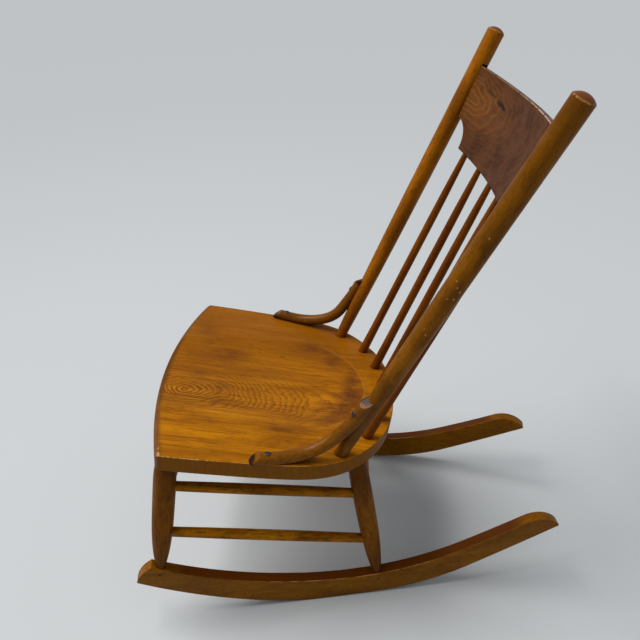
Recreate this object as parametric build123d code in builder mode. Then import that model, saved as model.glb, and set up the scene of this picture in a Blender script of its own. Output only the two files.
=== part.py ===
from build123d import *
from math import cos, inf, radians, sin, sqrt
import os

# Armless spindle-back sewing rocker, built from turned and bent wood.
# Millimetres. Z is up, the sitter faces -Y and the sitter's left hand is at +X.
# The origin is on the floor, midway between the two rockers and midway along them.

# ---------------------------------------------------------------- fits
glue_gap = 0.1  # radial play of a round tenon in its hole
socket_depth = 18.0  # how far legs and posts go into the seat
mortise_top_gap = 3.0  # empty length of the crest mortise above the crest
stick_neck = 8.0  # length of a tenon's radius outside its slanting hole
leg_neck = 4.0

# ---------------------------------------------------------------- seat
seat_tilt = 8.4  # degrees, lower at the back
seat_front_y = -321.5
seat_front_z = 358.5  # top of the front edge
seat_thickness = 29.0
seat_depth = 397.0
seat_half_width = 216.0
seat_front_bow = 34.0  # how far the front edge runs ahead of its corners
seat_side_points = (  # inset from the half width and depth, from the front corner to the back
    (3.2, 125.0),
    (8.5, 210.0),
    (28.0, 298.0),
    (93.0, 368.0),
)
seat_corner_radius = 14.0
seat_edge_radius = 1.5
seat_roll_radius = 11.0  # rounding of the front edge, for the knees
dish_radius = 124.0  # rim of the hollow, seen from above
dish_depth = 10.0
dish_back = 347.0  # back of the hollow, from the front edge
dish_rise = 1.0  # degrees by which the hollow runs out towards the front

# ---------------------------------------------------------------- back
post_inset = 50.5  # of its base, from the seat's half width
post_base_depth = 305.0  # from the seat's front edge
post_length = 595.0  # above the seat
back_lean = 24.6  # degrees, backwards
post_splay = 5.56  # degrees, outwards
post_foot_radius = 10.0
post_low_radius = 12.4
post_mid_radius = 13.9
post_top_radius = 14.3
post_dome = 6.0

crest_bow = 475.0  # radius of the crest's curve, seen from above
crest_behind = 54.0  # how far the crest's middle lies behind the posts
crest_thickness = 12.5
crest_bottom = 416.5  # heights along the back, from the seat
crest_end_bottom = 456.5
crest_top = 540.0  # at its ends
crest_arch = 1.0  # how much higher its middle is
crest_point_inset = 7.5  # from a post's base in to where the lower edge meets the hollow corner
crest_end_outset = 48.5  # from a post's base out to the hidden end in the post's mortise
crest_edge_radius = 2.0

spindle_count = 6
spindle_base_pitch = 48.0
spindle_top_pitch = 57.0
spindle_row_depth = 379.0  # middle of the arc the spindles stand on
spindle_row_radius = 243.0
spindle_foot_radius = 8.0
spindle_mid_radius = 6.9
spindle_top_radius = 5.4
spindle_tenon_radius = 4.6  # in the crest
spindle_tip = 30.0  # length over which the top narrows to its tenon
spindle_seat_hole = 15.0
spindle_crest_hole = 14.0

# ---------------------------------------------------------------- braces
brace_radius = 10.0
brace_flat = 3.4  # planed off where the brace lies on the seat
brace_front = (10.7, 175.0)  # inset from the seat's half width and depth of its front end
brace_lift_off = (21.5, 223.0)  # the same, where it starts to bend upwards
brace_bend_low = (17.5, 268.5, 21.5)  # x out from the post's base, depth, height above the seat
brace_bend_high = (12.5, 293.0, 43.5)
brace_post_low = (60.0, 20.4)  # distance up the post, and between the two axes
brace_post_high = (122.0, 12.3)
brace_outward = 26.0  # degrees round the post, from the front
brace_end_angle = 45.0  # slope of the cut ends
brace_end_radius = 2.5
brace_seat_screw_depth = 195.0
brace_post_screw_up = 94.0

screw_head_radius = 4.8
screw_head_height = 2.6
screw_sink = 3.0  # how deep the underside of the head is let into the brace
screw_shank_radius = 2.0
screw_slot_width = 1.1
screw_slot_depth = 1.0
screw_bite = 14.0  # length of shank in the seat or post

# ---------------------------------------------------------------- rockers
rocker_half_length = 356.0
rocker_inset = 39.0  # of its middle, from the seat's half width
rocker_toe = 8.5  # degrees, closer together at the back
rocker_thickness = 19.0
rocker_balance = -57.3  # where the rocker touches the floor at rest
rocker_depth = 47.2
rocker_waist = -5.0  # where its top edge is lowest
# Arcs as (reach, radius), from the lowest point of an edge outwards. The last runs to the end.
rocker_sole_front = ((92.0, 380.0), (inf, 800.0))
rocker_sole_rear = ((110.0, 1800.0), (264.0, 400.0), (inf, 6000.0))
rocker_top_front = ((inf, 690.0),)
rocker_top_rear = ((205.0, 505.0), (inf, 2500.0))
rocker_front_nose = (27.0, 60.0)  # its length along the top edge, and its radius
rocker_rear_nose = (57.2, 48.0)
rocker_edge_radius = 1.5

# ---------------------------------------------------------------- legs and rungs
front_leg_top = (38.0, 41.5)  # inset from the half width and depth, under the seat
rear_leg_top = (81.0, 333.0)
front_leg_foot_y = -311.5
rear_leg_foot_y = 42.5
leg_top_radius = 12.0
leg_swell_radii = {"front": 17.8, "rear": 16.6}
leg_shape = (  # share of the leg from the seat down, and of its swell's radius
    (0.10, 0.90),
    (0.27, 1.0),
    (0.50, 0.98),
    (0.70, 0.91),
    (0.88, 0.70),
)
leg_foot_radius = 7.5
leg_foot_depth = 15.0
front_leg_rungs = (0.278, 0.683)  # side rungs, as shares of the leg from the seat down
rear_leg_rungs = (0.316, 0.711)
front_rung_share = 0.42
rear_rung_share = 0.47
rung_end_radius = 7.9
rung_mid_radius = 8.9
rung_hole_depth = 12.0

# ---------------------------------------------------------------- frames and points
tilt = radians(seat_tilt)
lean = radians(back_lean)
splay = radians(post_splay)
toe = radians(rocker_toe)
post_base_x = seat_half_width - post_inset
rocker_mid_x = seat_half_width - rocker_inset

seat_plane = Plane(
    origin=(0, seat_front_y, seat_front_z),
    x_dir=(1, 0, 0),
    z_dir=(0, sin(tilt), cos(tilt)),
)


def on_seat(x, depth, height=0.0):
    """A point given by its place on the seat's top face and its height above it."""
    return seat_plane.from_local_coords(Vector(x, depth, height))


# The back's own frame stands on the seat between the posts and leans with them.
back_plane = Plane(
    origin=on_seat(0, post_base_depth),
    x_dir=(1, 0, 0),
    z_dir=(0, -cos(lean), sin(lean)),
)


def on_back(x, up, behind=0.0):
    """A point given by its place on the plane of the posts and its distance behind it."""
    return back_plane.from_local_coords(Vector(x, up, -behind))


def rocker_plane(side):
    """Middle plane of a rocker: x runs backwards along it and y is up."""
    return Plane(
        origin=(side * rocker_mid_x, 0, 0),
        x_dir=(-side * sin(toe), cos(toe), 0),
        z_dir=(cos(toe), side * sin(toe), 0),
    )


def crest_bulge(x):
    """How far the middle of the crest's thickness lies behind the posts at x."""
    return crest_behind - crest_bow + sqrt(crest_bow**2 - x**2)


def rocker_rise(offset, arcs):
    """Rise of a rocker edge above its lowest point, along arcs that follow on smoothly."""
    joint = (0, 0)
    centre = (0, arcs[0][1])
    last_radius = arcs[0][1]
    for reach, radius in arcs:
        share = radius / last_radius
        centre = tuple(place + (middle - place) * share for place, middle in zip(joint, centre))
        across = min(abs(offset), reach)
        rise = centre[1] - sqrt(radius**2 - (across - centre[0]) ** 2)
        if abs(offset) <= reach:
            return rise
        joint = (reach, rise)
        last_radius = radius


def sole_point(along):
    offset = along - rocker_balance
    return (along, rocker_rise(offset, rocker_sole_front if offset < 0 else rocker_sole_rear))


def top_point(along):
    offset = along - rocker_waist
    rise = rocker_rise(offset, rocker_top_front if offset < 0 else rocker_top_rear)
    return (along, rocker_depth + rise)


def arc_ends(lowest, front_arcs, rear_arcs, front_end, rear_end):
    """Where the arcs of a rocker edge meet, from its front end to its rear end."""
    front = [lowest - reach for reach, radius in front_arcs if lowest - reach > front_end]
    rear = [lowest + reach for reach, radius in rear_arcs if lowest + reach < rear_end]
    return [front_end] + front[::-1] + [lowest] + rear + [rear_end]


sides = {"left": 1, "right": -1}


# ---------------------------------------------------------------- shared builders
def turned(start, end, stations, dome=0.0):
    """A round stick from start to end. Stations are (distance along, radius); the first
    and last pair are straight tenons and the rest is one smooth curve."""
    along = (end - start).normalized()
    length = (end - start).length
    outward = Plane(origin=start, z_dir=along).x_dir
    profile = [(radius, distance) for distance, radius in stations]
    end_rim = (stations[-1][1], length - dome)
    with BuildPart() as stick:
        with BuildSketch(Plane(origin=start, x_dir=outward, z_dir=outward.cross(along))):
            with BuildLine():
                Line((0, 0), (stations[0][1], 0))
                Line((stations[0][1], 0), profile[0])
                Spline(profile)
                Line(profile[-1], end_rim)
                if dome > 0:
                    TangentArc((0, length), end_rim, tangent=(1, 0))
                else:
                    Line(end_rim, (0, length))
                Line((0, length), (0, 0))
            make_face()
        revolve(axis=Axis(start, along))
    return stick.part


def bore(end, mouth, radius, overshoot=40.0):
    """Solid that cuts a round hole: flat bottom at end, running out through mouth."""
    along = (mouth - end).normalized()
    with BuildPart() as drill:
        with Locations(Plane(origin=end, z_dir=along)):
            Cylinder(
                radius + glue_gap,
                (mouth - end).length + overshoot,
                align=(Align.CENTER, Align.CENTER, Align.MIN),
            )
    return drill.part


def save(part, name):
    part.label = name
    export_step(part, f"parts/{name}.step")


os.makedirs("parts", exist_ok=True)

# ---------------------------------------------------------------- where the sticks run
# Each stick is (buried start, start of its visible part, end of that, buried end).


def leg_run(side, top, foot_y):
    inset, depth = top
    under_seat = on_seat(side * (seat_half_width - inset), depth, -seat_thickness)
    foot_along, foot_z = top_point(foot_y / cos(toe))
    on_rocker = rocker_plane(side).from_local_coords(Vector(foot_along, foot_z, 0))
    down = (on_rocker - under_seat).normalized()
    return (
        under_seat - down * socket_depth,
        under_seat,
        on_rocker,
        on_rocker + down * leg_foot_depth,
    )


legs = {}
for side_name, side in sides.items():
    legs[f"front_{side_name}"] = leg_run(side, front_leg_top, front_leg_foot_y)
    legs[f"rear_{side_name}"] = leg_run(side, rear_leg_top, rear_leg_foot_y)


def on_leg(leg_name, share):
    """A point on a leg's axis, as a share of its visible length from the seat down."""
    top, foot = legs[leg_name][1:3]
    return top + (foot - top) * share


# Each rung is (start, end, leg it starts in, leg it ends in), with points on the legs' axes.
rungs = {}


def add_rung(rung_name, start_leg, start_share, end_leg, end_share):
    start = on_leg(start_leg, start_share)
    end = on_leg(end_leg, end_share)
    rungs[rung_name] = (start, end, start_leg, end_leg)


add_rung("front_rung", "front_left", front_rung_share, "front_right", front_rung_share)
add_rung("rear_rung", "rear_left", rear_rung_share, "rear_right", rear_rung_share)
for side_name in sides:
    for level, front_share, rear_share in zip(("upper", "lower"), front_leg_rungs, rear_leg_rungs):
        add_rung(
            f"{side_name}_{level}_rung",
            f"front_{side_name}",
            front_share,
            f"rear_{side_name}",
            rear_share,
        )

# Each post is (buried base, base on the seat, top, direction). A brace's facing is the
# direction from the post's axis to the brace's, square to the post.
posts = {}
facings = {}
turn = radians(brace_outward)
for side_name, side in sides.items():
    base = on_seat(side * post_base_x, post_base_depth)
    top = on_back(side * (post_base_x + post_length * sin(splay)), post_length * cos(splay))
    up = (top - base).normalized()
    posts[side_name] = (base - up * socket_depth, base, top, up)
    facing = Vector(side * sin(turn), -cos(turn) * cos(lean), cos(turn) * sin(lean))
    facings[side_name] = (facing - up * facing.dot(up)).normalized()

spindles = []
for number in range(spindle_count):
    steps = number - (spindle_count - 1) / 2
    base_x = steps * spindle_base_pitch
    top_x = steps * spindle_top_pitch
    row_depth = spindle_row_depth - spindle_row_radius
    row_depth += sqrt(spindle_row_radius**2 - base_x**2)
    base = on_seat(base_x, row_depth)
    top = on_back(top_x, crest_bottom, crest_bulge(top_x))
    up = (top - base).normalized()
    spindles.append((base - up * spindle_seat_hole, base, top, top + up * spindle_crest_hole))

# ---------------------------------------------------------------- legs


def swell_radius(leg_name):
    return leg_swell_radii[leg_name.split("_")[0]]


leg_blanks = {}
for leg_name, (buried_top, under_seat, on_rocker, buried_foot) in legs.items():
    visible = (on_rocker - under_seat).length
    swell = swell_radius(leg_name)
    leg_blanks[leg_name] = turned(
        buried_top,
        buried_foot,
        [
            (socket_depth + leg_neck, leg_top_radius),
            *[(socket_depth + down * visible, share * swell) for down, share in leg_shape],
            (socket_depth + visible, leg_foot_radius),
        ],
    )

# ---------------------------------------------------------------- rungs
rung_bores = {leg_name: [] for leg_name in legs}
for rung_name, (start, end, start_leg, end_leg) in rungs.items():
    run = (end - start).normalized()
    start_surface = start + run * swell_radius(start_leg)
    end_surface = end - run * swell_radius(end_leg)
    buried_start = start_surface - run * rung_hole_depth
    buried_end = end_surface + run * rung_hole_depth
    length = (buried_end - buried_start).length
    rung = turned(
        buried_start,
        buried_end,
        [
            (rung_hole_depth, rung_end_radius),
            (length / 2, rung_mid_radius),
            (length - rung_hole_depth, rung_end_radius),
        ],
    )
    save(rung, rung_name)
    rung_bores[start_leg].append(bore(buried_start, start_surface, rung_end_radius))
    rung_bores[end_leg].append(bore(buried_end, end_surface, rung_end_radius))

for leg_name, blank in leg_blanks.items():
    with BuildPart() as leg:
        add(blank)
        add(rung_bores[leg_name], mode=Mode.SUBTRACT)
    save(leg.part, f"{leg_name}_leg")

# ---------------------------------------------------------------- rockers
for side_name, side in sides.items():
    feet = [name for name in legs if name.endswith(side_name)]
    foot_bores = [bore(legs[name][3], legs[name][2], leg_foot_radius) for name in feet]
    leg_feet = [leg_blanks[name] for name in feet]
    front_nose_length, front_nose_radius = rocker_front_nose
    rear_nose_length, rear_nose_radius = rocker_rear_nose
    front_nose = front_nose_length - rocker_half_length
    rear_nose = rocker_half_length - rear_nose_length
    sole_ends = arc_ends(
        rocker_balance,
        rocker_sole_front,
        rocker_sole_rear,
        -rocker_half_length,
        rocker_half_length,
    )
    top_ends = arc_ends(rocker_waist, rocker_top_front, rocker_top_rear, front_nose, rear_nose)
    with BuildPart() as rocker:
        with BuildSketch(rocker_plane(side)):
            with BuildLine():
                for edge_point, ends in ((sole_point, sole_ends), (top_point, top_ends)):
                    for start, end in zip(ends, ends[1:]):
                        middle = (start + end) / 2
                        ThreePointArc(edge_point(start), edge_point(middle), edge_point(end))
                RadiusArc(
                    sole_point(-rocker_half_length), top_point(front_nose), front_nose_radius
                )
                RadiusArc(top_point(rear_nose), sole_point(rocker_half_length), rear_nose_radius)
            make_face()
        extrude(amount=rocker_thickness / 2, both=True)
        fillet(rocker.edges(), rocker_edge_radius)
        add(foot_bores + leg_feet, mode=Mode.SUBTRACT)
    save(rocker.part, f"{side_name}_rocker")

# ---------------------------------------------------------------- spindles
for number, (buried_base, base, top, buried_top) in enumerate(spindles, start=1):
    length = (buried_top - buried_base).length
    spindle = turned(
        buried_base,
        buried_top,
        [
            (spindle_seat_hole + stick_neck, spindle_foot_radius),
            (length / 2, spindle_mid_radius),
            (length - spindle_crest_hole - spindle_tip, spindle_top_radius),
            (length - spindle_crest_hole, spindle_tenon_radius),
        ],
    )
    save(spindle, f"spindle_{number}")

# ---------------------------------------------------------------- crest
crest_low_plane = Plane(
    origin=on_back(0, crest_bottom),
    x_dir=(1, 0, 0),
    z_dir=back_plane.y_dir,
)


def crest_shape(grow, headroom):
    """The bent crest tablet; grown and given headroom, it cuts its own mortises."""
    centre_y = crest_behind - crest_bow
    front_bow = crest_bow - crest_thickness / 2 - grow
    back_bow = crest_bow + crest_thickness / 2 + grow
    point_x = post_base_x - crest_point_inset
    end_x = post_base_x + crest_end_outset + grow
    low = crest_bottom - grow
    end_low = crest_end_bottom - grow
    high = crest_top + headroom
    cove_radius = end_low - low
    cove_x = point_x + cove_radius
    front_end_y = centre_y + sqrt(front_bow**2 - end_x**2)
    back_end_y = centre_y + sqrt(back_bow**2 - end_x**2)
    with BuildPart() as tablet:
        with BuildSketch(crest_low_plane.offset(-grow)):
            with BuildLine():
                ThreePointArc(
                    (-end_x, front_end_y), (0, centre_y + front_bow), (end_x, front_end_y)
                )
                ThreePointArc((-end_x, back_end_y), (0, centre_y + back_bow), (end_x, back_end_y))
                Line((-end_x, front_end_y), (-end_x, back_end_y))
                Line((end_x, front_end_y), (end_x, back_end_y))
            make_face()
        extrude(amount=high + crest_arch - low)
        with BuildSketch(back_plane.offset(crest_behind)):
            with BuildLine():
                Line((-point_x, low), (point_x, low))
                CenterArc((cove_x, low), cove_radius, 90, 90)
                CenterArc((-cove_x, low), cove_radius, 0, 90)
                for end in (-1, 1):
                    Line((end * cove_x, end_low), (end * end_x, end_low))
                    Line((end * end_x, end_low), (end * end_x, high))
                ThreePointArc((-end_x, high), (0, high + crest_arch), (end_x, high))
            make_face()
        extrude(amount=-3 * crest_behind, mode=Mode.INTERSECT)
    return tablet.part


crest_bores = [bore(run[3], run[2], spindle_tenon_radius) for run in spindles]
crest_blank = crest_shape(0, 0)
with BuildPart() as crest:
    add(crest_blank)
    long_edges = crest.edges().filter_by(lambda edge: edge.length > crest_top - crest_end_bottom)
    fillet(long_edges, crest_edge_radius)
    add(crest_bores, mode=Mode.SUBTRACT)
save(crest.part, "crest")

# ---------------------------------------------------------------- brace screws


def screw_shape(face, into, reach, grow=0.0):
    """A round-head wood screw whose head sits on face; grown, it cuts its own hole."""
    with BuildPart() as screw:
        with BuildSketch(Plane(origin=face, z_dir=-into)):
            Circle(screw_shank_radius + grow)
        extrude(amount=-reach - grow)
        with BuildSketch(Plane(origin=face, z_dir=-into)):
            Circle(screw_head_radius + grow)
        extrude(amount=screw_head_height)
        if grow == 0:
            rim = screw.faces().sort_by(Axis(face, -into))[-1].edges()
            fillet(rim, 0.6 * screw_head_height)
            with Locations(Plane(origin=face - into * screw_head_height, z_dir=-into)):
                Box(3 * screw_head_radius, screw_slot_width, 2 * screw_slot_depth, mode=Mode.SUBTRACT)
    return screw.part


seat_screw_holes = {}
post_screw_holes = {}
for side_name, side in sides.items():
    buried_base, base, top, up = posts[side_name]
    front_inset, front_depth = brace_front
    lift_inset, lift_depth = brace_lift_off
    share = (brace_seat_screw_depth - front_depth) / (lift_depth - front_depth)
    screw_inset = front_inset + share * (lift_inset - front_inset)
    seat_face = on_seat(
        side * (seat_half_width - screw_inset),
        brace_seat_screw_depth,
        2 * brace_radius - brace_flat - screw_sink,
    )
    seat_reach = 2 * brace_radius - brace_flat - screw_sink + screw_bite
    screw_share = (brace_post_screw_up - brace_post_low[0]) / (brace_post_high[0] - brace_post_low[0])
    axis_offset = brace_post_low[1] + screw_share * (brace_post_high[1] - brace_post_low[1])
    post_face_offset = axis_offset + brace_radius - screw_sink
    post_face = base + up * brace_post_screw_up + facings[side_name] * post_face_offset
    post_reach = post_face_offset - post_low_radius + screw_bite
    down = -seat_plane.z_dir
    inward = -facings[side_name]
    save(screw_shape(seat_face, down, seat_reach), f"{side_name}_brace_seat_screw")
    save(screw_shape(post_face, inward, post_reach), f"{side_name}_brace_post_screw")
    seat_screw_holes[side_name] = screw_shape(seat_face, down, seat_reach, glue_gap)
    post_screw_holes[side_name] = screw_shape(post_face, inward, post_reach, glue_gap)

# ---------------------------------------------------------------- posts
mortises = crest_shape(glue_gap, mortise_top_gap)
post_blanks = {}
for side_name, (buried_base, base, top, up) in posts.items():
    post_blanks[side_name] = turned(
        buried_base,
        top + up * post_dome,
        [
            (socket_depth + stick_neck, post_foot_radius),
            (socket_depth + 0.2 * post_length, post_low_radius),
            (socket_depth + 0.5 * post_length, post_mid_radius),
            (socket_depth + 0.94 * post_length, post_top_radius),
        ],
        dome=post_dome,
    )
    with BuildPart() as post:
        add(post_blanks[side_name])
        add([mortises, post_screw_holes[side_name]], mode=Mode.SUBTRACT)
    save(post.part, f"{side_name}_post")

# ---------------------------------------------------------------- braces


def brace_end(side, place):
    """A point on the axis of a brace where it lies on the seat."""
    inset, depth = place
    return on_seat(side * (seat_half_width - inset), depth, brace_radius - brace_flat)


def brace_bend(side, place):
    """A point on the axis of a brace between the seat and the post."""
    outset, depth, height = place
    return on_seat(side * (post_base_x + outset), depth, height)


def slanted_cut(origin, outward, upward):
    """Solid beyond a sloping plane through origin, to cut the end of a brace."""
    slope = radians(brace_end_angle)
    size = 8 * brace_radius
    with BuildPart() as block:
        with Locations(Plane(origin=origin, z_dir=outward * cos(slope) + upward * sin(slope))):
            Box(size, size, size, align=(Align.CENTER, Align.CENTER, Align.MIN))
    return block.part


for side_name, side in sides.items():
    buried_base, base, top, up = posts[side_name]
    facing = facings[side_name]
    front = brace_end(side, brace_front)
    lift_off = brace_end(side, brace_lift_off)
    run = (lift_off - front).normalized()
    front_cut = slanted_cut(front, -run, seat_plane.z_dir)
    low_on_post = base + up * brace_post_low[0] + facing * brace_post_low[1]
    high_on_post = base + up * brace_post_high[0] + facing * brace_post_high[1]
    top_cut = slanted_cut(high_on_post, up, facing)
    with BuildPart() as brace:
        with BuildLine():
            Spline(
                front - run * 2 * brace_radius,
                lift_off,
                brace_bend(side, brace_bend_low),
                brace_bend(side, brace_bend_high),
                low_on_post,
                high_on_post + up * 2 * brace_radius,
                tangents=(run, up),
            )
        with BuildSketch(Plane(origin=front - run * 2 * brace_radius, z_dir=run)):
            Circle(brace_radius)
        sweep()
        add([front_cut, top_cut], mode=Mode.SUBTRACT)
        fillet(brace.faces().filter_by(GeomType.PLANE).edges(), brace_end_radius)
        split(bisect_by=seat_plane, keep=Keep.TOP)
        add(
            [post_blanks[side_name], seat_screw_holes[side_name], post_screw_holes[side_name]],
            mode=Mode.SUBTRACT,
        )
    save(brace.part, f"{side_name}_brace")

# ---------------------------------------------------------------- seat
seat_bores = [bore(run[0], run[1], spindle_foot_radius) for run in spindles]
seat_bores += [bore(run[0], run[1], post_foot_radius) for run in posts.values()]
seat_bores += [bore(run[0], run[1], leg_top_radius) for run in legs.values()]
hollow_curve = (dish_radius**2 + dish_depth**2) / (2 * dish_depth)
hollow_reach = 1.2 * dish_radius
hollow_edge_z = hollow_curve - sqrt(hollow_curve**2 - hollow_reach**2)
rise = radians(seat_tilt + dish_rise)
hollow_plane = Plane(
    origin=on_seat(0, dish_back - dish_radius, -dish_depth),
    x_dir=(1, 0, 0),
    z_dir=(0, -cos(rise), sin(rise)),
)
with BuildPart() as hollow:
    with BuildSketch(hollow_plane):
        with BuildLine():
            ThreePointArc((-hollow_reach, hollow_edge_z), (0, 0), (hollow_reach, hollow_edge_z))
            Polyline(
                (-hollow_reach, hollow_edge_z),
                (-hollow_reach, dish_radius),
                (hollow_reach, dish_radius),
                (hollow_reach, hollow_edge_z),
            )
        make_face()
    extrude(amount=seat_depth)
    with BuildSketch(hollow_plane):
        with BuildLine():
            RadiusArc((0, 0), (hollow_reach, hollow_edge_z), -hollow_curve)
            Polyline(
                (hollow_reach, hollow_edge_z),
                (hollow_reach, dish_radius),
                (0, dish_radius),
                (0, 0),
            )
        make_face()
    revolve(axis=Axis(hollow_plane.origin, hollow_plane.y_dir))
front_bend_radius = (seat_half_width**2 + seat_front_bow**2) / (2 * seat_front_bow)
roll_inner = front_bend_radius - seat_roll_radius
front_bend_centre = on_seat(0, front_bend_radius)
with BuildPart() as front_roll:
    with BuildSketch(Plane(origin=front_bend_centre, x_dir=-seat_plane.y_dir, z_dir=(-1, 0, 0))):
        with BuildLine():
            RadiusArc((roll_inner, 0), (front_bend_radius, -seat_roll_radius), seat_roll_radius)
            Polyline(
                (roll_inner, 0),
                (roll_inner, seat_roll_radius),
                (front_bend_radius + seat_roll_radius, seat_roll_radius),
                (front_bend_radius + seat_roll_radius, -seat_roll_radius),
                (front_bend_radius, -seat_roll_radius),
            )
        make_face()
    revolve(axis=Axis(front_bend_centre, seat_plane.z_dir))
with BuildPart() as seat:
    with BuildSketch(seat_plane):
        with BuildLine():
            ThreePointArc(
                (-seat_half_width, seat_front_bow), (0, 0), (seat_half_width, seat_front_bow)
            )
            for side in sides.values():
                Spline(
                    (side * seat_half_width, seat_front_bow),
                    *[(side * (seat_half_width - inset), depth) for inset, depth in seat_side_points],
                    (0, seat_depth),
                    tangents=((0, 1), (-side, 0)),
                )
        make_face()
    extrude(amount=-seat_thickness)
    corners = seat.edges().filter_by(Axis((0, 0, 0), seat_plane.z_dir)).group_by(Axis.Y)[0]
    fillet(corners, seat_corner_radius)
    rims = seat.faces().filter_by(Axis((0, 0, 0), seat_plane.z_dir)).edges()
    fillet(rims, seat_edge_radius)
    add([hollow.part, front_roll.part], mode=Mode.SUBTRACT)
    add(seat_bores + list(seat_screw_holes.values()), mode=Mode.SUBTRACT)
save(seat.part, "seat")
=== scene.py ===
from functools import partial, reduce
from math import cos, pi, radians, sin

import bpy
import numpy as np
from mathutils import Matrix, Vector


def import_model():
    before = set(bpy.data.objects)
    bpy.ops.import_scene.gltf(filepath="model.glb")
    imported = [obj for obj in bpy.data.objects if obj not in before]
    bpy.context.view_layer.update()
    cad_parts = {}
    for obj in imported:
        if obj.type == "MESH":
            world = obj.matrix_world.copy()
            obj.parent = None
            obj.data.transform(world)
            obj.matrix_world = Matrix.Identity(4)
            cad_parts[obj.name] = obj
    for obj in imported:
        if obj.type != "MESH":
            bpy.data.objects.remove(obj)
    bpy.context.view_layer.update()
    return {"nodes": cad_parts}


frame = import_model()

# ---------------------------------------------------------------- camera and light
CAMERA_PLACE = (0.91396, -0.01934, 1.01638)
CAMERA_HEADING = 92.147  # degrees, left from +Y
CAMERA_PITCH = 31.735  # degrees, down
CAMERA_ROLL = -1.096  # degrees, about the line of sight
CAMERA_LENS = 37.0  # mm
CAMERA_SENSOR = 36  # mm, square
SKY_COLOUR = (0.60, 0.63, 0.655)  # of the light that it gives
SKY_STRENGTH = 0.38  # of that light's green
BACKDROP = (0.55, 0.58, 0.59)  # what is seen or mirrored beyond the floor
FLOOR_COLOUR = (0.54, 0.555, 0.56)
FLOOR_HALF_WIDTH = 20.0
SUN_STRENGTH = 2.3
SUN_PLACE = (-0.2, -1.2, 1.7)  # it shines from here towards the origin
SUN_SPREAD = 40  # degrees, for soft shadows
LAMP_PLACE = (0.1, -0.9, 2.4)
LAMP_SIZE = (1.3, 0.35)
LAMP_POWER = 14

# ---------------------------------------------------------------- the chair's own directions
SEAT_TILT = radians(8.4)
SEAT_FRONT = Vector((0, -0.3215, 0.3585))
BACK_LEAN = radians(24.6)
SIDES = {"left": 1, "right": -1}  # each with the sign of its x
up = Vector((0, 0, 1))
across_seat = Vector((1, 0, 0))
along_seat = Vector((0, cos(SEAT_TILT), -sin(SEAT_TILT)))
up_from_seat = Vector((0, sin(SEAT_TILT), cos(SEAT_TILT)))
up_back = Vector((0, sin(BACK_LEAN), cos(BACK_LEAN)))
BACK_FOOT = SEAT_FRONT + along_seat * 0.305


def mm(*values):
    return tuple(value / 1000 for value in values)


def srgb(red, green, blue):
    """A colour given by its 0 to 255 screen values, as the shader wants it."""
    shares = [value / 255 for value in (red, green, blue)]
    return tuple(s / 12.92 if s <= 0.04045 else ((s + 0.055) / 1.055) ** 2.4 for s in shares)


def opaque(colour):
    """A plain colour with the fourth value that sockets want; a socket stays as it is."""
    return (*colour, 1) if isinstance(colour, tuple) else colour


# ---------------------------------------------------------------- node helpers
# The mix node has sockets for every kind of value. The ones for colours go by their numbers.
MIX_SHARE, MIX_FIRST, MIX_SECOND, MIX_RESULT = 0, 6, 7, 2


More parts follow.
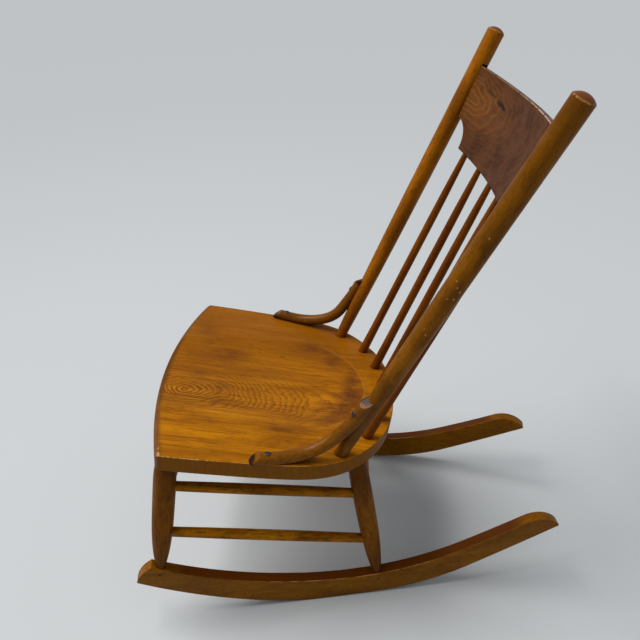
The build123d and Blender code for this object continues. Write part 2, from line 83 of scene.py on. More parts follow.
class Recipe:
    """The nodes of a material or world, with short calls that link sockets or set values."""

    def __init__(self, owner):
        self.owner = owner
        owner.use_nodes = True
        self.tree = owner.node_tree
        self.tree.nodes.clear()

    def put(self, kind, inputs=(), **settings):
        node = self.tree.nodes.new(kind)
        for key, value in settings.items():
            setattr(node, key, value)
        for key, value in dict(inputs).items():
            if isinstance(value, bpy.types.NodeSocket):
                self.tree.links.new(value, node.inputs[key])
            else:
                node.inputs[key].default_value = value
        return node

    def math(self, operation, *values, clamp=False):
        node = self.put("ShaderNodeMath", enumerate(values), operation=operation, use_clamp=clamp)
        return node.outputs[0]

    def total(self, *values):
        return reduce(partial(self.math, "ADD"), values)

    def product(self, *values):
        return reduce(partial(self.math, "MULTIPLY"), values)

    def weighted(self, *pairs):
        """The total of every value times its weight."""
        return self.total(*(self.product(value, weight) for value, weight in pairs))

    def centred(self, value, width):
        """A value between 0 and 1, spread over width with its middle at 0."""
        return self.math("MULTIPLY_ADD", value, width, -width / 2)

    def vector(self, operation, *values):
        node = self.put("ShaderNodeVectorMath", enumerate(values), operation=operation)
        return node.outputs["Value" if operation in ("LENGTH", "DOT_PRODUCT") else "Vector"]

    def stretch(self, place, scales):
        return self.vector("MULTIPLY", place, scales)

    def component(self, place, axis):
        return self.put("ShaderNodeSeparateXYZ", {"Vector": place}).outputs[axis]

    def object_place(self):
        return self.put("ShaderNodeTexCoord").outputs["Object"]

    def turned_place(self, place, origin, turns):
        """place as measured from origin, along axes turned by the XYZ angles in turns."""
        inputs = {"Vector": place, "Location": origin, "Rotation": turns}
        return self.put("ShaderNodeMapping", inputs, vector_type="TEXTURE").outputs["Vector"]

    def noise(self, place, scale, stretch=None, detail=2.0, roughness=0.5):
        """Noise between 0 and 1. Shares below 1 in stretch draw it out along their axes."""
        if stretch:
            place = self.stretch(place, stretch)
        inputs = {"Vector": place, "Scale": scale, "Detail": detail, "Roughness": roughness}
        return self.put("ShaderNodeTexNoise", inputs).outputs["Fac"]

    def steps(self, value, low, high, out_low=0.0, out_high=1.0):
        """Smooth change from out_low to out_high while value goes from low to high."""
        limits = {"From Min": low, "From Max": high, "To Min": out_low, "To Max": out_high}
        inputs = {"Value": value, **limits}
        node = self.put("ShaderNodeMapRange", inputs, interpolation_type="SMOOTHSTEP")
        return node.outputs["Result"]

    def ramp(self, value, stops):
        """Level for a value, on straight lines between stops of value and level."""
        node = self.put("ShaderNodeValToRGB", {"Fac": value})
        points = node.color_ramp.elements
        for place, _ in stops[2:]:
            points.new(place)
        for point, (place, level) in zip(points, stops):
            point.position = place
            point.color = (level, level, level, 1)
        return node.outputs["Color"]

    def mix(self, share, first, second):
        """first where share is 0, second where it is 1."""
        inputs = {MIX_SHARE: share, MIX_FIRST: opaque(first), MIX_SECOND: opaque(second)}
        return self.put("ShaderNodeMix", inputs, data_type="RGBA").outputs[MIX_RESULT]

    def bell(self, place, centre, sizes):
        """1 at centre, falling off smoothly over sizes along the axes of place."""
        away = self.vector("SUBTRACT", place, centre)
        away = self.stretch(away, tuple(1 / size for size in sizes))
        squared = self.vector("DOT_PRODUCT", away, away)
        return self.math("EXPONENT", self.product(squared, -1.0))

    def finish(self, colour, rough, relief, bump, shader_inputs):
        """The finished material. bump is the relief's strength and its height in metres."""
        strength, height = bump
        inputs = {"Height": relief, "Strength": strength, "Distance": height}
        normal = self.put("ShaderNodeBump", inputs).outputs["Normal"]
        inputs = {"Base Color": colour, "Roughness": rough, "Normal": normal, **shader_inputs}
        shader = self.put("ShaderNodeBsdfPrincipled", inputs)
        self.put("ShaderNodeOutputMaterial", {"Surface": shader.outputs["BSDF"]})
        return self.owner


def new_recipe(name):
    return Recipe(bpy.data.materials.new(name))


# Painted shade: ambient occlusion paints corners and joints darker where less light reaches.
CORNER_SHADE_STARTS, CORNER_SHADE_FULL = 0.8, 0.3  # shares of its surroundings that are open to a place
ARRIS_FROM_SIDE = (0.2, 0.5)  # cosines between which the wear of an edge sets in, coming
ARRIS_FROM_FACE = (0.96, 0.85)  # from the piece's side or from the face that the edge ends


def painted_corner_shade(recipe, reach):
    """Mask of painted shade: 1 in tight corners, 0 in the open."""
    node = recipe.put("ShaderNodeAmbientOcclusion", {"Distance": reach}, samples=8)
    return recipe.steps(node.outputs["AO"], CORNER_SHADE_STARTS, CORNER_SHADE_FULL)


def facing(recipe, direction):
    """Cosine of the angle between the surface's normal and direction."""
    normal = recipe.put("ShaderNodeNewGeometry").outputs["Normal"]
    return recipe.vector("DOT_PRODUCT", normal, tuple(direction))


def arris(recipe, direction, breaks):
    """1 on the rounded edge between a face that looks along direction and its sides."""
    cosine = facing(recipe, direction)
    from_side = recipe.steps(cosine, *ARRIS_FROM_SIDE)
    from_face = recipe.steps(cosine, *ARRIS_FROM_FACE)
    return recipe.product(from_side, from_face, breaks)


def dress(node_name, material):
    for slot in frame["nodes"][node_name].material_slots:
        slot.link = "OBJECT"
        slot.material = material


# ---------------------------------------------------------------- frames of the pieces
LEVEL_RISE = 0.2  # a stick that rises less than this share of its length counts as level


def stick_frame(node_name):
    """Start, direction and length of a straight stick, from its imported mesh."""
    points = np.array([v.co for v in frame["nodes"][node_name].data.vertices], float)
    middle = points.mean(axis=0)
    direction = np.linalg.svd(points - middle, full_matrices=False)[2][0]
    if direction[2] < 0 or (abs(direction[2]) < LEVEL_RISE and direction[1] < 0):
        direction = -direction
    reach = (points - middle) @ direction
    return Vector(middle + direction * reach.min()), Vector(direction), reach.max() - reach.min()


def basis(along, face):
    """Rotation whose Y is along, and whose Z is as near to face as it can be."""
    y_axis = along.normalized()
    z_axis = (face - y_axis * face.dot(y_axis)).normalized()
    x_axis = y_axis.cross(z_axis)
    return Matrix((x_axis, y_axis, z_axis)).transposed()


# ---------------------------------------------------------------- wood
PALE_WOOD = srgb(190, 142, 84)  # bare, where the stain has worn off
STICK_FACE = Vector((0.3, -1, 0.4))  # the sticks' z axes look roughly this way
SPOT_DEPTH = 60  # mm into the wood, far enough for a bent face
VARNISH_SPECULAR = 0.07
VARNISH_TINT = (1.0, 0.6, 0.25)
VARNISH_BUMP = (0.22, 0.0006)
PORE_EDGE = 0.08  # how much noise there is between a pore's first sign and its full dark


def fibres(recipe, place):
    return recipe.noise(place, 900, (1, 0.03, 1), detail=3, roughness=0.6)


def pores(recipe, place, low):
    """Short dark dashes along the grain, where their noise is above low."""
    dashes = recipe.noise(place, 480, (1, 0.1, 1), detail=1, roughness=0.4)
    return recipe.steps(dashes, low, low + PORE_EDGE)


class Wood:
    """A varnished wood. place is in metres from origin, along the axes of rotation."""

    def __init__(self, name, origin, rotation, colour):
        self.recipe = new_recipe(name)
        turns = tuple(rotation.to_euler("XYZ"))
        self.place = self.recipe.turned_place(self.recipe.object_place(), tuple(origin), turns)
        self.colour = colour

    def blend(self, share, colour):
        """Lays colour over what there is, by share."""
        self.colour = self.recipe.mix(share, self.colour, colour)

    def tint(self, value, low, high, strength, colour):
        """Lays colour on, from none where value is at low to strength where it is at high."""
        self.blend(self.recipe.steps(value, low, high, 0.0, strength), colour)

    def varnished(self, coat=0.05, coat_roughness=0.22):
        varnish = {
            "Coat Weight": coat,
            "Coat Roughness": coat_roughness,
            "Specular IOR Level": VARNISH_SPECULAR,
            "Specular Tint": opaque(VARNISH_TINT),
        }
        return self.recipe.finish(self.colour, self.rough, self.relief, VARNISH_BUMP, varnish)


class StickWood(Wood):
    """Stained turned wood: faint rings, streaks, mottling, dark pores, and painted shade in
    corners and joints.

    The seed, in metres, moves the figure, so that the sticks of one kind differ.
    """

    def __init__(self, node_name, palette, mottle, pores_above, seed, streaks=0.5):
        light, dark, deep = palette
        start, along, self.length = stick_frame(node_name)
        super().__init__(f"{node_name}_wood", start, basis(along, STICK_FACE), light)
        recipe = self.recipe
        moved = recipe.vector("ADD", self.place, (seed, 3 * seed, -seed))
        ring = recipe.noise(moved, 55, (1, 0.06, 1), detail=1)
        line = recipe.math("PINGPONG", recipe.product(ring, 9.0), 0.5)
        line = recipe.steps(line, 0.1, 0.45)
        broad = recipe.noise(moved, 13, (1, 0.5, 1), detail=3)
        self.cloud = recipe.noise(moved, 45, (1, 0.3, 1), detail=5, roughness=0.62)
        streak = recipe.noise(moved, 300, (1, 0.04, 1), detail=4, roughness=0.65)
        grain = recipe.noise(moved, 190, (1, 0.6, 1), detail=5, roughness=0.75)
        speck = recipe.product(pores(recipe, moved, pores_above), 0.6)
        self.tint(broad, 0.35, 0.68, 0.7, dark)
        self.tint(self.cloud, 0.42, 0.7, mottle, dark)
        self.blend(recipe.product(line, 0.25), dark)
        self.tint(streak, 0.5, 0.78, streaks, deep)
        self.tint(grain, 0.46, 0.74, 0.55, deep)
        self.blend(speck, deep)
        # Painted shade where the stick meets other parts.
        self.blend(recipe.product(painted_corner_shade(recipe, reach=0.018), 0.8), deep)
        self.relief = recipe.weighted((fibres(recipe, moved), 0.5), (line, -0.2), (speck, -0.5))
        self.rough = recipe.steps(self.cloud, 0.3, 0.7, 0.34, 0.5)

    def spot(self, centre, sizes, colour, strength):
        """A ragged patch of colour round a point of the stick's own frame, in metres."""
        recipe = self.recipe
        ragged = recipe.noise(self.place, 500, detail=3, roughness=0.6)
        patch = recipe.bell(self.place, centre, sizes)
        patch = recipe.product(patch, recipe.steps(ragged, 0.3, 0.6, 0.7, 1.5))
        self.blend(recipe.product(recipe.steps(patch, 0.3, 0.75), strength), colour)


# ---------------------------------------------------------------- seat
SEAT_LIGHT = srgb(187, 117, 3)
SEAT_DARK = srgb(130, 73, 3)
SEAT_LINE = srgb(94, 46, 3)
# Real stains, and also the colour of painted shade in corners and inside the hollow's rear rim.
SEAT_STAIN_AND_SHADE = srgb(94, 48, 15)
# The sides' colour, darker partly as painted shade.
SEAT_SIDE = srgb(116, 70, 2)
# Pale wear on the edges, and also the painted highlight along the hollow's rim.
SEAT_WEAR_AND_HIGHLIGHT = srgb(208, 160, 96)
# Painted shade along the rounded front.
SEAT_ROLL_SHADE = srgb(84, 48, 16)
SEAT_BACK_RIM = 0.347  # depth of the hollow's rear rim
HOLLOW_RADIUS = 0.124
# The rim's pale line is a painted highlight.
RIM_NARROWNESS = 3.5e5  # of the rim's pale line; higher is narrower
FRONT_BEND_RADIUS = 0.703  # of the seat's front edge, seen from above
# The dark of the front edge is painted shade.
FRONT_ROLL = 0.011  # how far the dark of the front edge reaches on to the seat

# The plank's rings lie round the heart of the tree, which runs below the seat from front to
# back. Where the heart comes near the surface the rings close into an eye.
HEART_X = 0.046
SEAT_EYE = (50, 45)  # x and depth in mm
SEAT_EYE_SIZES = (45, 62)
RING_WIDTH = 0.006
FIGURE_HALF_WIDTH = 0.06  # the rings are bold beside the heart and fade away from it
HEART_DEPTHS = (  # depth of the place in the seat, and of the heart below it, in mm
    (0, 34),
    (38, 2),
    (96, 34),
    (118, 42),
    (174, 84),
    (246, 120),
    (360, 140),
)
RING_PROFILE = ((0.0, 0.0), (0.35, 0.05), (0.75, 1.0), (0.92, 0.8), (1.0, 0.0))

SEAT_STAINS = (  # x and depth of the centre, sizes in mm, strength
    ((-60, 100), (26, 32), 0.8),
    ((-130, 48), (22, 20), 0.55),
    ((-92, 60), (9, 24), 0.4),
    ((-20, 50), (26, 22), 0.35),
    ((-5, 160), (16, 34), 0.3),
    ((35, 103), (22, 18), 0.5),
    ((8, 60), (14, 18), 0.35),
    ((-108, 252), (16, 34), 0.8),
    ((-84, 290), (24, 16), 0.75),
    ((-42, 326), (34, 12), 0.6),
    ((12, 326), (38, 17), 1.0),
    ((48, 312), (28, 20), 0.9),
    ((84, 288), (18, 16), 0.55),
    ((130, 209), (7, 24), 0.9),
    ((119, 66), (15, 17), 0.4),
    ((128, 96), (13, 15), 0.45),
)


class SeatWood(Wood):
    """The stained plank. x is across it, y its depth from the front and z up from it."""

    def __init__(self):
        axes = basis(along_seat, up)
        super().__init__("seat_wood", SEAT_FRONT, axes, SEAT_LIGHT)
        recipe, place = self.recipe, self.place
        self.flat_place = recipe.stretch(place, (1, 1, 0))
        self.across = recipe.component(place, "X")
        self.depth = recipe.component(place, "Y")
        self.cloud = recipe.noise(place, 15, (1, 0.45, 1), detail=5, roughness=0.6)
        streak = recipe.noise(place, 210, (1, 0.03, 1), detail=4, roughness=0.65)
        ragged = recipe.noise(place, 60, (1, 0.5, 1), detail=5, roughness=0.7)
        self.ragged = recipe.steps(ragged, 0.28, 0.68, 0.3, 1.1)
        speck = recipe.product(pores(recipe, place, 0.64), 0.5)

        line = self.add_figure()
        self.tint(streak, 0.46, 0.74, 0.7, SEAT_LINE)
        # Darker to the right: partly the stain's own tone, partly painted shade on the side away
        # from the light, with the near side kept lighter as painted light.
        self.tint(self.across, 0.12, -0.16, 0.7, SEAT_DARK)  # darker to the right
        self.add_stains()
        self.blend(speck, SEAT_LINE)
        self.add_hollow()
        self.add_edges()
        self.add_worn_corner()
        # Painted shade in corners and where the sticks enter the seat.
        self.blend(recipe.product(painted_corner_shade(recipe, reach=0.016), 0.75), SEAT_STAIN_AND_SHADE)
        self.relief = recipe.weighted(
            (fibres(recipe, place), 0.4), (line, -0.3), (streak, -0.5), (speck, -0.4)
        )
        self.rough = recipe.steps(self.cloud, 0.3, 0.7, 0.36, 0.52)

    def rings(self):
        """Ring count of the plank, and how near to the heart a place lies."""
        recipe = self.recipe
        slow = recipe.noise(self.place, 16, (1, 0.5, 1))
        quick = recipe.noise(self.place, 95, (1, 0.6, 1))
        wander = recipe.centred(slow, 0.04)
        across = recipe.total(recipe.math("SUBTRACT", self.across, HEART_X), wander)
        depth = recipe.total(self.depth, wander)
        longest, deepest = HEART_DEPTHS[-1]
        stops = [(depth_here / longest, below / deepest) for depth_here, below in HEART_DEPTHS]
        below = recipe.ramp(recipe.product(depth, 1000 / longest), stops)
        below = recipe.product(below, deepest / 1000)
        squared = recipe.product(across, across)
        radius = recipe.math("SQRT", recipe.total(squared, recipe.product(below, below)))
        count = recipe.math("DIVIDE", radius, RING_WIDTH)
        count = recipe.total(count, recipe.product(quick, 1.4))
        near = recipe.math("EXPONENT", recipe.math("DIVIDE", squared, -(FIGURE_HALF_WIDTH**2)))
        return count, near

    def add_figure(self):
        """Strips, clouds and the rings' lines, which are also given back."""
        recipe, place = self.recipe, self.place
        strip = recipe.noise(place, 42, (1, 0.07, 1), detail=4, roughness=0.6)
        self.tint(strip, 0.36, 0.68, 0.75, SEAT_DARK)
        self.tint(self.cloud, 0.42, 0.68, 0.75, SEAT_DARK)
        count, near_heart = self.rings()
        breaks = recipe.noise(place, 60, (1, 0.3, 1), detail=3)
        line = recipe.ramp(recipe.math("FRACT", count), RING_PROFILE)
        line = recipe.product(line, recipe.steps(breaks, 0.3, 0.6, 0.35, 1.0))
        strength = recipe.steps(near_heart, 0.3, 0.85, 0.2, 0.6)
        eye = recipe.bell(place, mm(*SEAT_EYE, 0), mm(*SEAT_EYE_SIZES, SPOT_DEPTH))
        strength = recipe.math("ADD", strength, recipe.product(eye, 0.4), clamp=True)
        self.blend(recipe.product(line, strength), SEAT_LINE)
        fine = recipe.ramp(recipe.math("FRACT", recipe.product(count, 2.0)), RING_PROFILE)
        self.blend(recipe.product(fine, strength, 0.2), SEAT_LINE)
        return line

    def add_stains(self):
        recipe = self.recipe
        stains = []
        for centre, sizes, strength in SEAT_STAINS:
            spot = recipe.bell(self.place, mm(*centre, 0), mm(*sizes, SPOT_DEPTH))
            stains.append((spot, strength))
        share = recipe.math("MULTIPLY", recipe.weighted(*stains), self.ragged, clamp=True)
        self.blend(share, SEAT_STAIN_AND_SHADE)

    def add_hollow(self):
        """Dark inside the hollow's rear rim, partly stain and partly painted shade, and a painted
        highlight along the rim.
        """
        recipe = self.recipe
        centre = (0, SEAT_BACK_RIM - HOLLOW_RADIUS, 0)
        from_centre = recipe.vector("LENGTH", recipe.vector("SUBTRACT", self.flat_place, centre))
        inside = recipe.math("SUBTRACT", HOLLOW_RADIUS, from_centre)
        behind = recipe.steps(self.depth, 0.25, 0.3)
        start = recipe.steps(inside, 0.0, 0.004)
        end = recipe.steps(inside, 0.05, 0.012)
        # Partly stain, partly painted shade inside the rear rim.
        self.blend(recipe.product(start, end, behind, self.ragged, 0.4), SEAT_STAIN_AND_SHADE)
        # Painted highlight along the rim.
        rim = recipe.math("EXPONENT", recipe.product(inside, inside, -RIM_NARROWNESS))
        self.blend(recipe.product(rim, behind, 0.08), SEAT_WEAR_AND_HIGHLIGHT)

    def add_edges(self):
        """The plank's sides, darker partly from their stained edges and partly as painted shade,
        and painted shade along its rounded front.
        """
        recipe = self.recipe
        upright = recipe.noise(self.place, 320, (1, 1, 0.12), detail=3, roughness=0.6)
        # Partly painted shade on faces turned from the light above.
        sides = recipe.mix(recipe.steps(upright, 0.4, 0.7, 0.0, 0.4), SEAT_SIDE, SEAT_LINE)
        self.blend(recipe.steps(facing(recipe, up_from_seat), 0.55, 0.3), sides)
        bend_centre = (0, FRONT_BEND_RADIUS, 0)
        from_bend = recipe.vector("SUBTRACT", self.flat_place, bend_centre)
        inset = recipe.math("SUBTRACT", FRONT_BEND_RADIUS, recipe.vector("LENGTH", from_bend))
        inset = recipe.total(inset, recipe.product(self.cloud, 0.006))
        # Painted shade on the rounded front.
        roll = recipe.steps(inset, FRONT_ROLL + 0.005, FRONT_ROLL - 0.003)
        ahead = recipe.steps(self.depth, 0.05, 0.04)
        self.blend(recipe.product(roll, ahead, 0.75), SEAT_ROLL_SHADE)

    def add_worn_corner(self):
        """Chips along the left edge, fewer of them further back."""
        recipe = self.recipe
        chips = recipe.noise(self.place, 130, detail=4, roughness=0.7)
        at_edge = recipe.steps(self.across, 0.18, 0.2)
        at_front = recipe.product(
            recipe.steps(self.depth, 0.15, 0.11, 0.35, 1.0), recipe.steps(self.depth, 0.03, 0.04)
        )
        wear = recipe.product(at_edge, at_front, recipe.steps(chips, 0.4, 0.6))
        self.blend(arris(recipe, up_from_seat, wear), SEAT_WEAR_AND_HIGHLIGHT)


dress("seat", SeatWood().varnished(coat=0.06, coat_roughness=0.25))

# ---------------------------------------------------------------- posts
POST_PALETTES = {
    "left": (srgb(131, 79, 2), srgb(84, 46, 1), srgb(54, 26, 1)),
    "right": (srgb(156, 91, 2), srgb(104, 56, 1), srgb(62, 29, 1)),
}
POST_LOOK = {"mottle": 0.8, "pores_above": 0.72, "streaks": 0.3}
POST_TOP = srgb(104, 54, 28)
POST_DOME = 0.006  # height of the domed top
POST_RADIUS = 0.0147  # where the pits are
POST_PITS = (0.46, 0.47, 0.558, 0.563, 0.583, 0.59, 0.602, 0.71)  # shares of its length
POST_PIT_ANGLE = 70  # degrees round the post, from its z axis towards its x axis
POST_PIT_SWAY = 25  # degrees to both sides of that
POST_PIT_TURN = 5.0  # radians of that sway's sine from pit to pit, so that they scatter
POST_PIT_SIZES = mm(1.5, 2.2, 1.5)
POST_PIT_STRENGTH = 0.6


def post_wood(side_name, side):
    """Darker on its domed top, with a chipped line round the dome's foot."""
    name = f"{side_name}_post"
    wood = StickWood(name, POST_PALETTES[side_name], seed=0.1 * side, **POST_LOOK)
    recipe = wood.recipe
    to_top = recipe.math("SUBTRACT", wood.length, recipe.component(wood.place, "Y"))
    wood.tint(to_top, POST_DOME + 0.0005, POST_DOME - 0.0005, 0.85, POST_TOP)
    above = recipe.steps(to_top, POST_DOME + 0.0016, POST_DOME + 0.0004)
    below = recipe.steps(to_top, POST_DOME - 0.0016, POST_DOME - 0.0002)
    chips = recipe.steps(recipe.noise(wood.place, 220, detail=3), 0.4, 0.56, 0.0, 0.5)
    wood.blend(recipe.product(above, below, chips), PALE_WOOD)
    return wood


def add_pits(wood):
    """Pale pits down a post's outer side."""
    for number, share in enumerate(POST_PITS):
        turned = radians(POST_PIT_ANGLE + POST_PIT_SWAY * sin(POST_PIT_TURN * number))
        pit = (POST_RADIUS * sin(turned), share * wood.length, POST_RADIUS * cos(turned))
        wood.spot(pit, POST_PIT_SIZES, PALE_WOOD, POST_PIT_STRENGTH)


for side_name, side in SIDES.items():
    wood = post_wood(side_name, side)
    if side_name == "left":
        add_pits(wood)
    dress(f"{side_name}_post", wood.varnished(coat=0.08))

# ---------------------------------------------------------------- spindles
SPINDLE_PALETTE = (srgb(122, 64, 2), srgb(86, 38, 2), srgb(48, 18, 2))

for number in range(1, 7):
    name = f"spindle_{number}"
    wood = StickWood(name, SPINDLE_PALETTE, mottle=0.5, pores_above=0.7, seed=0.13 * number)
    dress(name, wood.varnished())

# ---------------------------------------------------------------- legs
LEG_PALETTE = (srgb(134, 81, 2), srgb(86, 46, 2), srgb(46, 20, 2))
LEG_ENDS = srgb(70, 34, 6)
LEG_END_STOPS = ((0.05, 0.8), (0.35, 0.1), (0.6, 0.0), (0.8, 0.5), (0.95, 0.7))


def leg_wood(name, seed):
    """Darker towards the foot and the seat."""
    wood = StickWood(name, LEG_PALETTE, mottle=0.8, pores_above=0.62, seed=seed)
    recipe = wood.recipe
    share = recipe.math("DIVIDE", recipe.component(wood.place, "Y"), wood.length)
    share = recipe.total(share, recipe.centred(wood.cloud, 0.3))
    wood.blend(recipe.ramp(share, LEG_END_STOPS), LEG_ENDS)
    return wood


leg_names = [f"{end}_{side_name}_leg" for end in ("front", "rear") for side_name in SIDES]
for number, name in enumerate(leg_names):
    dress(name, leg_wood(name, 0.17 * number).varnished())

# ---------------------------------------------------------------- rungs
RUNG_PALETTE = (srgb(172, 108, 6), srgb(112, 62, 3), srgb(36, 15, 3))
RUNG_LOOK = {"mottle": 1.0, "pores_above": 0.62, "streaks": 0.8}

rung_names = ["front_rung", "rear_rung"]
rung_names += [f"{side_name}_{level}_rung" for side_name in SIDES for level in ("upper", "lower")]
for number, name in enumerate(rung_names):
    wood = StickWood(name, RUNG_PALETTE, seed=0.19 * number, **RUNG_LOOK)
    dress(name, wood.varnished())

# ---------------------------------------------------------------- braces
BRACE_PALETTE = (srgb(128, 76, 4), srgb(94, 52, 3), srgb(50, 22, 3))
BRACE_CUT = srgb(38, 16, 4)
BRACE_CUT_SIZES = (0.016, 0.016, 0.014)


def brace_wood(side_name, side):
    """Dark and dull at both cut ends."""
    name = f"{side_name}_brace"
    wood = StickWood(name, BRACE_PALETTE, mottle=0.5, pores_above=0.66, seed=0.21 * side)
    recipe = wood.recipe
    points = [vertex.co for vertex in frame["nodes"][name].data.vertices]
    low_end = min(points, key=lambda point: point.y)
    high_end = max(points, key=lambda point: point.z)
    for end in (low_end, high_end):
        cut = recipe.bell(recipe.object_place(), tuple(end), BRACE_CUT_SIZES)
        cut = recipe.steps(cut, 0.3, 0.65)
        wood.blend(cut, BRACE_CUT)
        wood.rough = recipe.total(wood.rough, recipe.product(cut, 0.3))
    return wood


for side_name, side in SIDES.items():
    wood = brace_wood(side_name, side)
    dress(f"{side_name}_brace", wood.varnished(coat=0.12, coat_roughness=0.14))

# ---------------------------------------------------------------- rockers
ROCKER_PALETTE = (srgb(134, 84, 2), srgb(104, 60, 2), srgb(56, 28, 2))
ROCKER_TOP = srgb(80, 36, 5)
ROCKER_REACH = 0.30  # along the rocker, to where the dark of its top face ends


def rocker_wood(side_name, side):
    """Dark on top, with a worn upper edge in the middle."""
    name = f"{side_name}_rocker"
    wood = StickWood(name, ROCKER_PALETTE, mottle=0.7, pores_above=0.68, seed=0.3 * side)
    recipe = wood.recipe
    from_middle = recipe.math("ABSOLUTE", recipe.component(recipe.object_place(), "Y"))
    top = recipe.steps(facing(recipe, up), 0.75, 0.9)
    inner = recipe.steps(from_middle, ROCKER_REACH, ROCKER_REACH - 0.03)
    wood.blend(recipe.product(top, inner, 0.9), ROCKER_TOP)
    breaks = recipe.steps(recipe.noise(wood.place, 60, detail=4), 0.35, 0.6)
    middle = recipe.steps(from_middle, 0.2, 0.08)
    wood.blend(arris(recipe, up, recipe.product(breaks, middle, 0.7)), PALE_WOOD)
    return wood


for side_name, side in SIDES.items():
    dress(f"{side_name}_rocker", rocker_wood(side_name, side).varnished())

# ---------------------------------------------------------------- crest
CREST_LIGHT = srgb(82, 46, 23)
CREST_DARK = srgb(56, 31, 18)
CREST_OCHRE = srgb(150, 92, 28)
# Knots, and also the painted shade in corners and joints.
CREST_KNOT_AND_SHADE = srgb(34, 20, 14)
CREST_WORN = srgb(206, 172, 140)
CREST_EYE = (-186, 492)  # x and height along the back, in mm
CREST_EYE_STRETCH = (0.36, 1.0, 1.0)  # the rings round the eye are long ovals
CREST_RING = 0.0075
CREST_KNOTS = (  # centre, sizes and strength
    ((-150, 516), (19, 3.0), 0.6),
    ((-113, 510), (19, 4.6), 0.95),
)
CREST_KNOT_LEAN = radians(-9)
CREST_BAND = ((0.0, 0.0), (0.5, 0.0), (0.8, 1.0), (1.0, 0.0))
CREST_FINE_BAND = ((0.0, 0.0), (0.6, 1.0), (1.0, 0.0))


class CrestWood(Wood):
    """The tablet. x runs along it and its grain, y up the back and z out of its front."""

    def __init__(self):
        axes = basis(up_back, -up_back.cross(across_seat))
        super().__init__("crest_wood", BACK_FOOT, axes, CREST_LIGHT)
        recipe, place = self.recipe, self.place
        self.flat_place = recipe.stretch(place, (1, 1, 0))
        cloud = recipe.noise(self.flat_place, 30, detail=4, roughness=0.6)
        streak = recipe.noise(place, 240, (0.08, 1, 1), detail=4, roughness=0.65)
        self.tint(cloud, 0.35, 0.7, 1.0, CREST_DARK)
        fine = self.add_rings(cloud)
        self.tint(streak, 0.5, 0.78, 0.45, CREST_DARK)
        self.add_knots()
        self.add_worn_top()
        # Painted shade where the crest meets the posts and spindles.
        self.blend(recipe.product(painted_corner_shade(recipe, reach=0.016), 0.7), CREST_KNOT_AND_SHADE)
        self.relief = recipe.weighted((streak, -0.4), (fine, -0.2))
        self.rough = recipe.steps(cloud, 0.3, 0.7, 0.38, 0.52)

    def add_rings(self, cloud):
        """Rings round the eye, ochre near it. The fine ones are also given back."""
        recipe = self.recipe
        slow = recipe.noise(self.flat_place, 18)
        quick = recipe.noise(self.flat_place, 70)
        from_eye = recipe.vector("SUBTRACT", self.flat_place, mm(*CREST_EYE, 0))
        from_eye = recipe.vector("LENGTH", recipe.stretch(from_eye, CREST_EYE_STRETCH))
        wander = recipe.total(recipe.centred(slow, 0.03), recipe.centred(quick, 0.006))
        count = recipe.math("DIVIDE", recipe.total(from_eye, wander), CREST_RING)
        fine = recipe.ramp(recipe.math("FRACT", recipe.product(count, 4.0)), CREST_FINE_BAND)
        self.blend(recipe.product(fine, 0.3), CREST_DARK)
        self.tint(from_eye, 0.06, 0.0, 0.22, CREST_OCHRE)
        band = recipe.ramp(recipe.math("FRACT", count), CREST_BAND)
        near = recipe.steps(from_eye, 0.055, 0.006, 0.08, 0.36)
        near = recipe.product(near, recipe.steps(cloud, 0.3, 0.6, 0.5, 1.1))
        self.blend(recipe.product(band, near), CREST_OCHRE)
        return fine

    def add_knots(self):
        recipe = self.recipe
        ragged = recipe.noise(self.flat_place, 260, (0.4, 1, 1), detail=3)
        lean = (0, 0, CREST_KNOT_LEAN)
        for centre, sizes, strength in CREST_KNOTS:
            knot_place = recipe.turned_place(self.flat_place, mm(*centre, 0), lean)
            knot = recipe.bell(knot_place, (0, 0, 0), mm(*sizes, SPOT_DEPTH))
            knot = recipe.product(knot, recipe.steps(ragged, 0.3, 0.6, 0.5, 1.3))
            self.tint(knot, 0.3, 0.8, strength, CREST_KNOT_AND_SHADE)

    def add_worn_top(self):
        """Chips along the top edges, most of them on the left half."""
        recipe = self.recipe
        chips = recipe.noise(self.place, 140, detail=4, roughness=0.7)
        chips = recipe.steps(chips, 0.36, 0.52)
        left_half = recipe.steps(recipe.component(self.place, "X"), -0.15, 0.08, 0.15, 0.8)
        self.blend(arris(recipe, up_back, recipe.product(chips, left_half)), CREST_WORN)


dress("crest", CrestWood().varnished(coat_roughness=0.25))

# ---------------------------------------------------------------- screws
STEEL = srgb(66, 60, 54)
STEEL_RUST = srgb(38, 30, 24)
# Painted shade in the slot and round the head.
STEEL_CORNER_SHADE = srgb(26, 18, 12)
STEEL_BUMP = (0.3, 0.0003)


def screw_steel():
    recipe = new_recipe("screw_steel")
    rust = recipe.noise(recipe.object_place(), 900, detail=3, roughness=0.6)
    colour = recipe.mix(recipe.steps(rust, 0.45, 0.65), STEEL, STEEL_RUST)
    # Painted shade in the slot and round the head.
    colour = recipe.mix(painted_corner_shade(recipe, reach=0.004), colour, STEEL_CORNER_SHADE)
    rough = recipe.steps(rust, 0.35, 0.7, 0.35, 0.6)
    return recipe.finish(colour, rough, rust, STEEL_BUMP, {"Metallic": 0.5})


steel = screw_steel()
for side_name in SIDES:
    for place_name in ("seat", "post"):
        dress(f"{side_name}_brace_{place_name}_screw", steel)


# ---------------------------------------------------------------- stage, light and camera
def add_object(name, data):
    holder = bpy.data.objects.new(name, data)
    bpy.context.scene.collection.objects.link(holder)
    return holder


def floor_material():
    recipe = new_recipe("pale_floor")
    inputs = {"Color": opaque(FLOOR_COLOUR), "Roughness": 0.0}
    shader = recipe.put("ShaderNodeBsdfDiffuse", inputs)
    recipe.put("ShaderNodeOutputMaterial", {"Surface": shader.outputs["BSDF"]})
    return recipe.owner


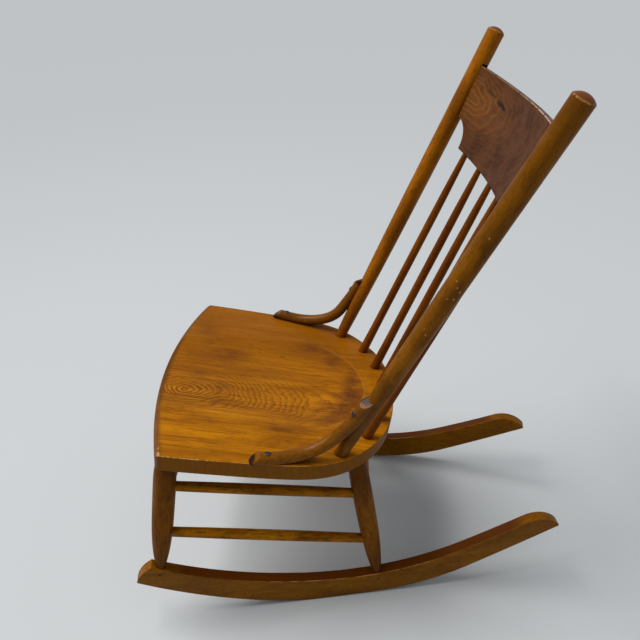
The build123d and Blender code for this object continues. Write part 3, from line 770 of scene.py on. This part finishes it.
def floor():
    mesh = bpy.data.meshes.new("floor")
    half = FLOOR_HALF_WIDTH
    corners = [(-half, -half, 0), (half, -half, 0), (half, half, 0), (-half, half, 0)]
    mesh.from_pydata(corners, [], [(0, 1, 2, 3)])
    mesh.materials.append(floor_material())
    add_object("floor", mesh)


def world():
    """Light from all around. What is seen or mirrored in its place is the backdrop."""
    sky = bpy.data.worlds.new("studio")
    bpy.context.scene.world = sky
    recipe = Recipe(sky)
    strength = SKY_STRENGTH / SKY_COLOUR[1]
    light = recipe.put("ShaderNodeBackground", {"Color": opaque(SKY_COLOUR), "Strength": strength})
    backdrop = recipe.put("ShaderNodeBackground", {"Color": opaque(BACKDROP)})
    rays = recipe.put("ShaderNodeLightPath").outputs
    seen = recipe.math("MAXIMUM", rays["Is Camera Ray"], rays["Is Glossy Ray"])
    seen = recipe.math("MAXIMUM", seen, rays["Is Transmission Ray"])
    choice = {0: seen, 1: light.outputs["Background"], 2: backdrop.outputs["Background"]}
    chosen = recipe.put("ShaderNodeMixShader", choice).outputs["Shader"]
    recipe.put("ShaderNodeOutputWorld", {"Surface": chosen})


def lamp(name, kind, place, power, **settings):
    """A lamp at place that shines towards the origin."""
    light = bpy.data.lights.new(name, kind)
    light.energy = power
    for key, value in settings.items():
        setattr(light, key, value)
    holder = add_object(name, light)
    holder.location = place
    holder.rotation_euler = Vector(place).to_track_quat("Z", "Y").to_euler()


def camera():
    lens = bpy.data.cameras.new("camera")
    lens.sensor_width = CAMERA_SENSOR
    lens.lens = CAMERA_LENS
    holder = add_object("camera", lens)
    turn = Matrix.Rotation(radians(CAMERA_HEADING), 4, "Z")
    tip = Matrix.Rotation(pi / 2 - radians(CAMERA_PITCH), 4, "X")
    roll = Matrix.Rotation(radians(CAMERA_ROLL), 4, "Z")
    holder.matrix_world = Matrix.Translation(CAMERA_PLACE) @ turn @ tip @ roll
    bpy.context.scene.camera = holder


floor()
world()
lamp("sun", "SUN", SUN_PLACE, SUN_STRENGTH, angle=radians(SUN_SPREAD))
width, depth = LAMP_SIZE
lamp("lamp", "AREA", LAMP_PLACE, LAMP_POWER, shape="RECTANGLE", size=width, size_y=depth)
camera()
bpy.context.scene.view_settings.view_transform = "Standard"
